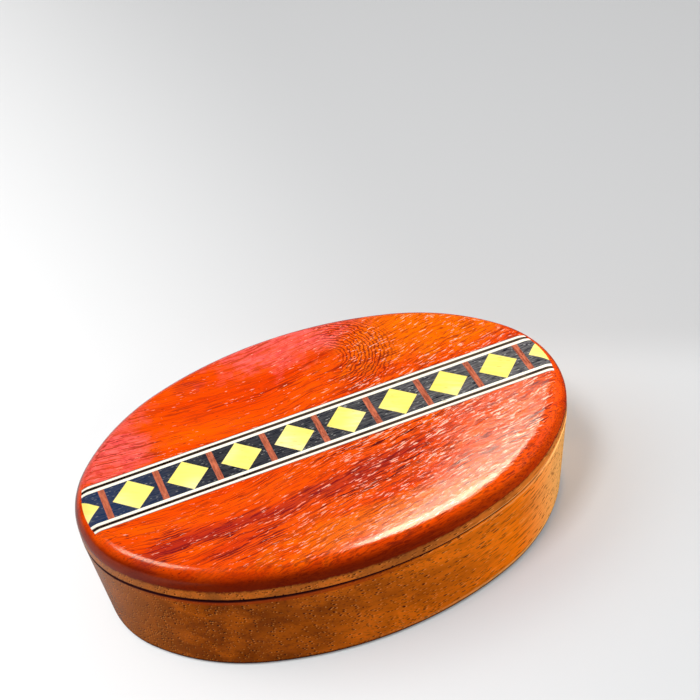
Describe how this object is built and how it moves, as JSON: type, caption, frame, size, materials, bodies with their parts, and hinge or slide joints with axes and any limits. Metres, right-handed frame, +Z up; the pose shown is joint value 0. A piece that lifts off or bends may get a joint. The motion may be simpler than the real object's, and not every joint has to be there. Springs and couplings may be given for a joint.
{
  "type": "puzzle box",
  "caption": "Closed oval wooden box with a rounded red lid, a band of inlaid diamonds and hidden sliding pins that lock the lid until the box is spun.",
  "frame": {"origin": "middle of the flat bottom, on the table", "axes": "+X along the oval and the inlaid band, +Y towards the back, +Z up"},
  "size_m": [0.152, 0.101, 0.0413],
  "materials": {
    "red_wood": "glossy oiled padauk-like hardwood",
    "tan_wood": "satin oiled mahogany-like hardwood with open pores",
    "plain_wood": "plain sanded hardwood",
    "white_wood": "pale maple-like line, polished",
    "black_wood": "black-dyed veneer, polished",
    "yellow_wood": "yellow veneer, polished",
    "brown_wood": "red-brown veneer, polished",
    "steel": "turned bright steel"
  },
  "bodies": {
    "base": {"base_wall": "tan_wood", "floor_panel": "plain_wood", "lock_block_left": "plain_wood", "lock_block_right": "plain_wood"},
    "lid": {"lid_top": "red_wood", "lid_core": "tan_wood", "lid_lip": "plain_wood", "lock_tongue_left": "plain_wood", "lock_tongue_right": "plain_wood", "inner_white_line_front": "white_wood", "inner_white_line_back": "white_wood", "black_line_front": "black_wood", "black_line_back": "black_wood", "outer_white_line_front": "white_wood", "outer_white_line_back": "white_wood", "diamond_1": "yellow_wood", "diamond_2": "yellow_wood", "diamond_3": "yellow_wood", "diamond_4": "yellow_wood", "diamond_5": "yellow_wood", "diamond_6": "yellow_wood", "diamond_7": "yellow_wood", "diamond_8": "yellow_wood", "diamond_9": "yellow_wood", "diamond_10": "yellow_wood", "separator_1": "brown_wood", "separator_2": "brown_wood", "separator_3": "brown_wood", "separator_4": "brown_wood", "separator_5": "brown_wood", "separator_6": "brown_wood", "separator_7": "brown_wood", "separator_8": "brown_wood", "separator_9": "brown_wood", "chevron_1": "black_wood", "chevron_2": "black_wood", "chevron_3": "black_wood", "chevron_4": "black_wood", "chevron_5": "black_wood", "chevron_6": "black_wood", "chevron_7": "black_wood", "chevron_8": "black_wood", "chevron_9": "black_wood", "chevron_10": "black_wood", "chevron_11": "black_wood", "chevron_12": "black_wood", "chevron_13": "black_wood", "chevron_14": "black_wood", "chevron_15": "black_wood", "chevron_16": "black_wood", "chevron_17": "black_wood", "chevron_18": "black_wood"},
    "pin_left": {"lock_pin_left": "steel"},
    "pin_right": {"lock_pin_right": "steel"}
  },
  "joints": [
    {"name": "lid_lift", "type": "slide", "parent": "base", "child": "lid", "axis": [0, 0, 1], "range_m": [0, 0.07]},
    {"name": "pin_left_slide", "type": "slide", "parent": "base", "child": "pin_left", "axis": [1, 0, 0], "range_m": [0, 0.006]},
    {"name": "pin_right_slide", "type": "slide", "parent": "base", "child": "pin_right", "axis": [-1, 0, 0], "range_m": [0, 0.006]}
  ]
}
